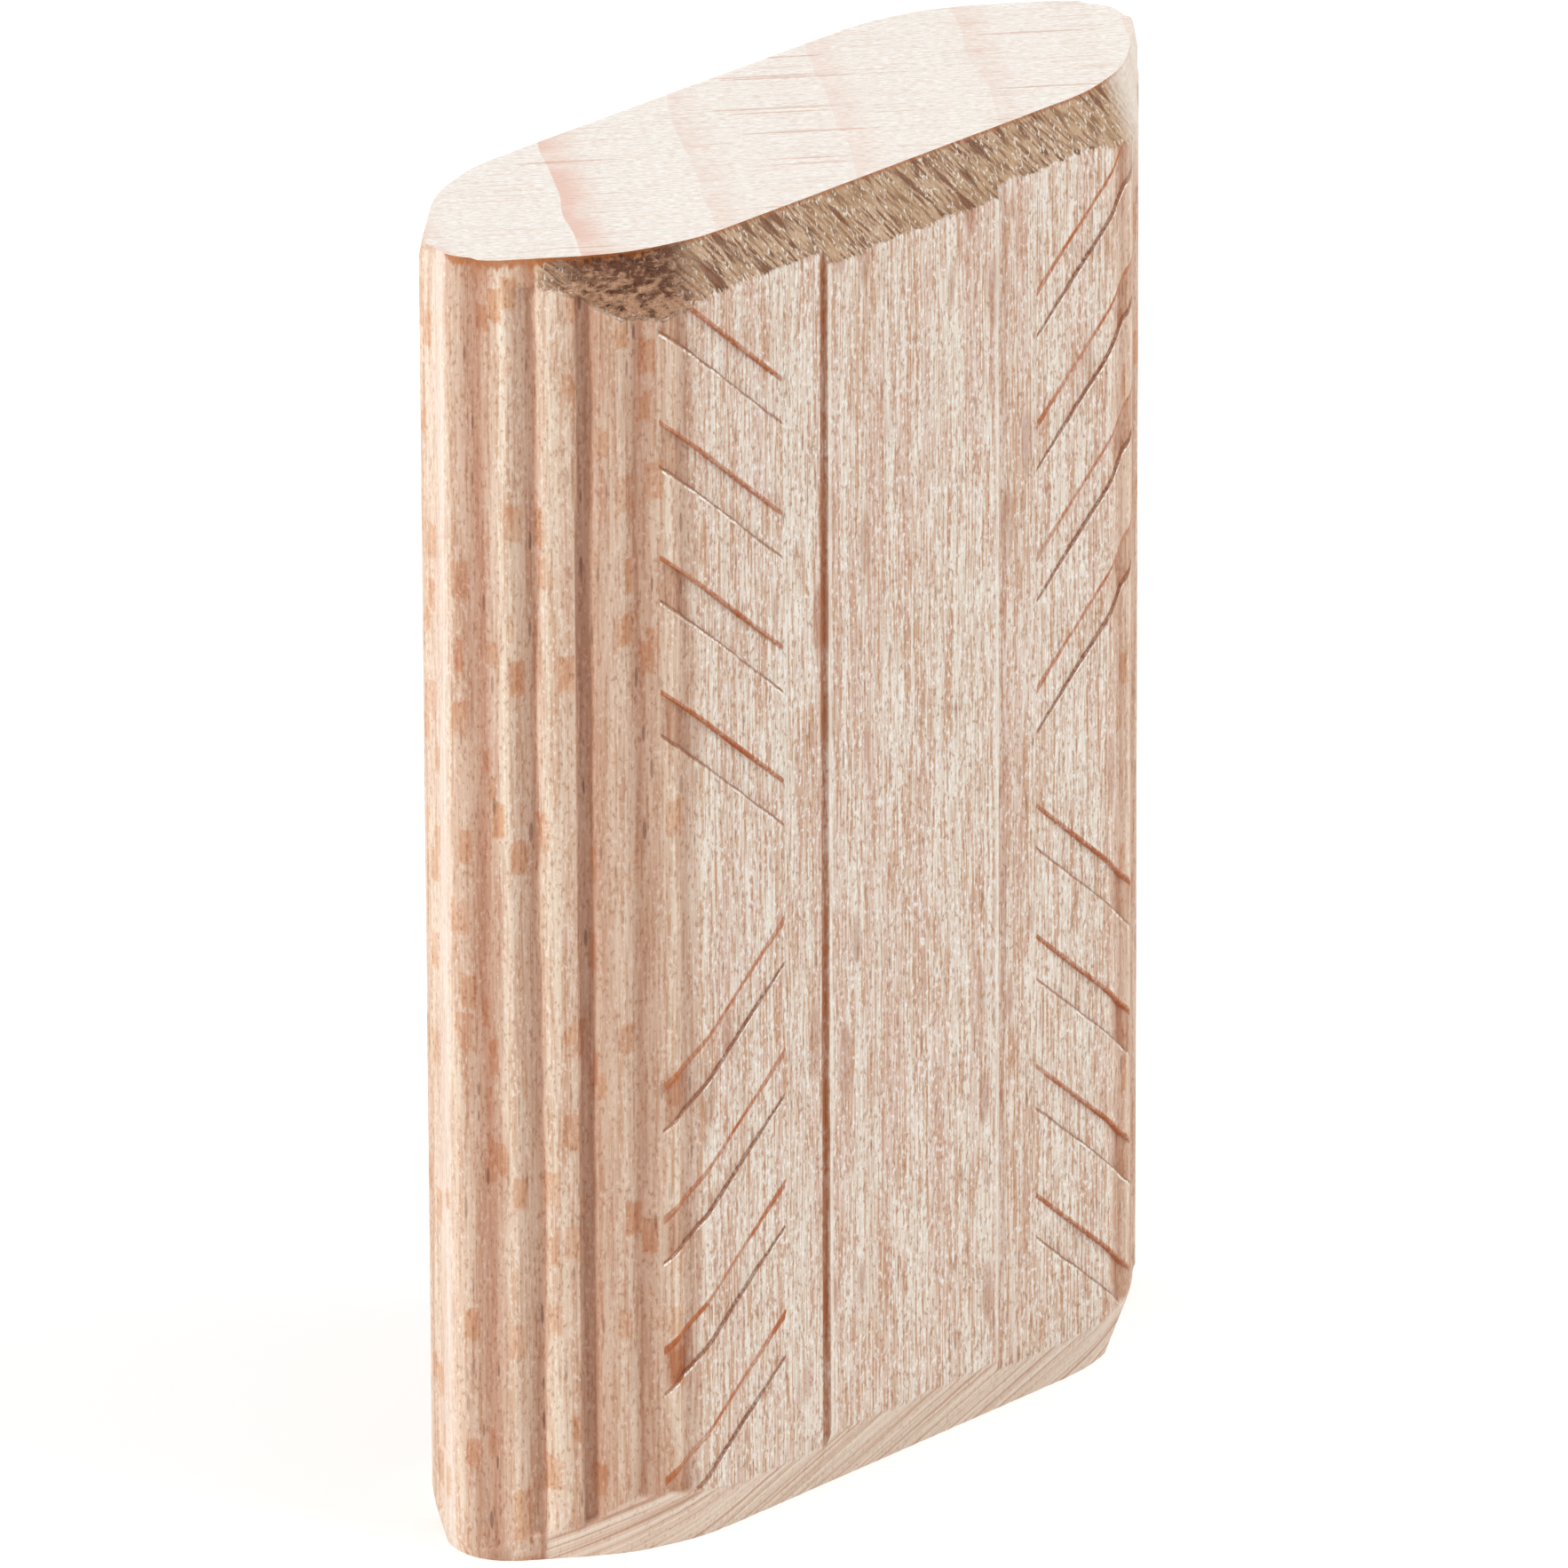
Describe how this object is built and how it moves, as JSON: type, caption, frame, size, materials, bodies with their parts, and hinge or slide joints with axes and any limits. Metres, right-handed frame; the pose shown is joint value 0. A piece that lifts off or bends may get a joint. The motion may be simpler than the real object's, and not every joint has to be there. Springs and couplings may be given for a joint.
{
  "type": "loose tenon",
  "caption": "Flat beech loose tenon with fluted rounded sides, raised bands, slanting glue pockets and chamfered ends; glued into a mortise at each end to join two boards.",
  "frame": {"origin": "centre of the lower end face, which the tenon stands on", "axes": "+Z along the grain and the length, +X across the width towards one rounded side, +Y out of one broad face"},
  "size_m": [0.022, 0.008, 0.0315],
  "materials": {
    "beech": "planed and moulded beech, unfinished, with pale sawn end grain"
  },
  "bodies": {
    "root": {"tenon": "beech"}
  },
  "joints": []
}
